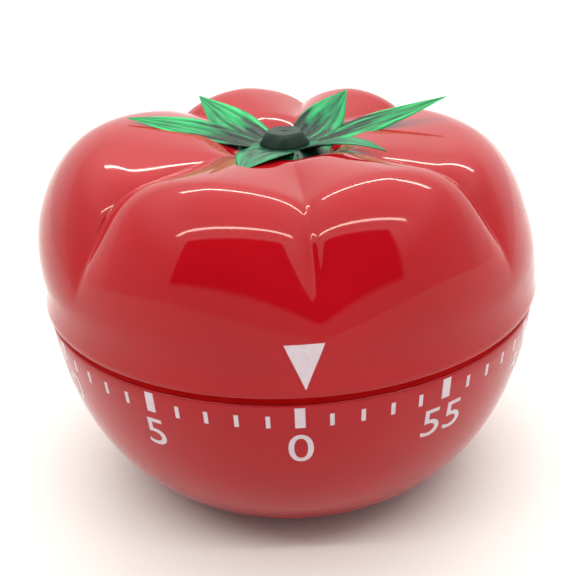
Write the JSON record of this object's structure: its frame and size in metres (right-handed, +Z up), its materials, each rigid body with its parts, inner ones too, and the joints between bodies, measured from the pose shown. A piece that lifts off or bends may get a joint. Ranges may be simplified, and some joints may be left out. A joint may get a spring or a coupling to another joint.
{
  "type": "kitchen timer",
  "caption": "Round wind-up kitchen timer in the form of a tomato: a lobed cap with a leafy crown turns on a bowl that carries the minute scale, over a clockwork movement and bell.",
  "frame": {"origin": "centre of the foot ring, on the turning axis, in the plane that the timer stands on", "axes": "+Z up along the turning axis; -Y towards the zero mark of the scale; +X to the right when the zero mark faces the viewer"},
  "size_m": [0.065, 0.065, 0.0488],
  "materials": {
    "red_plastic": "gloss",
    "green_plastic": "satin",
    "dark_green_plastic": "satin",
    "print_white": "satin",
    "brass": "satin",
    "steel": "satin",
    "spring_steel": "satin",
    "chrome": "gloss"
  },
  "bodies": {
    "base": {"lower_shell": "red_plastic", "base_cover": "red_plastic", "bottom_plate": "brass", "top_plate": "brass", "bell_post": "brass", "mainspring": "spring_steel", "bell": "chrome", "stop_post": "steel", "bell_screw": "steel", "pillar_1": "brass", "plate_screw_1": "steel", "cover_screw_1": "steel", "pillar_screw_1": "steel", "pillar_2": "brass", "plate_screw_2": "steel", "cover_screw_2": "steel", "pillar_screw_2": "steel", "pillar_3": "brass", "plate_screw_3": "steel", "cover_screw_3": "steel", "pillar_screw_3": "steel"},
    "cap": {"upper_shell": "red_plastic", "calyx": "green_plastic", "stem": "dark_green_plastic", "arbor": "steel", "main_wheel": "brass", "slip_washer": "spring_steel", "cam_disc": "steel", "stop_pin": "steel"},
    "second_train": {"second_wheel": "brass"},
    "third_train": {"third_wheel": "brass"},
    "escape_train": {"escape_wheel": "brass"},
    "strike_train": {"strike_wheel": "brass"},
    "balance_staff": {"balance": "steel"},
    "hammer_staff": {"hammer": "steel"}
  },
  "joints": [
    {"name": "cap_turn", "type": "hinge", "parent": "base", "child": "cap", "pos_m": [0, 0, 0.018], "axis": [0, 0, 1], "range_deg": [-346, 0]},
    {"name": "second_turn", "type": "hinge", "parent": "base", "child": "second_train", "pos_m": [0.01379, 0.00243, 0.018], "axis": [0, 0, 1], "range_deg": [0, 2076]},
    {"name": "third_turn", "type": "hinge", "parent": "base", "child": "third_train", "pos_m": [0.01272, 0.01357, 0.018], "axis": [0, 0, 1], "range_deg": [-12456, 0]},
    {"name": "escape_turn", "type": "hinge", "parent": "base", "child": "escape_train", "pos_m": [0.00478, 0.01631, 0.018], "axis": [0, 0, 1], "range_deg": [0, 74736]},
    {"name": "strike_turn", "type": "hinge", "parent": "base", "child": "strike_train", "pos_m": [-0.01352, -0.00362, 0.018], "axis": [0, 0, 1], "range_deg": [0, 2076]},
    {"name": "balance_swing", "type": "hinge", "parent": "base", "child": "balance_staff", "pos_m": [-0.00251, 0.01681, 0.018], "axis": [0, 0, 1], "range_deg": [-10, 10]},
    {"name": "hammer_swing", "type": "hinge", "parent": "base", "child": "hammer_staff", "pos_m": [-0.01871, 0.0033, 0.018], "axis": [0, 0, 1], "range_deg": [-2, 14]}
  ],
  "couplings": [
    {"joint": "second_turn", "follows": "cap_turn", "ratio": -6},
    {"joint": "third_turn", "follows": "cap_turn", "ratio": 36},
    {"joint": "escape_turn", "follows": "cap_turn", "ratio": -216},
    {"joint": "strike_turn", "follows": "cap_turn", "ratio": -6}
  ]
}
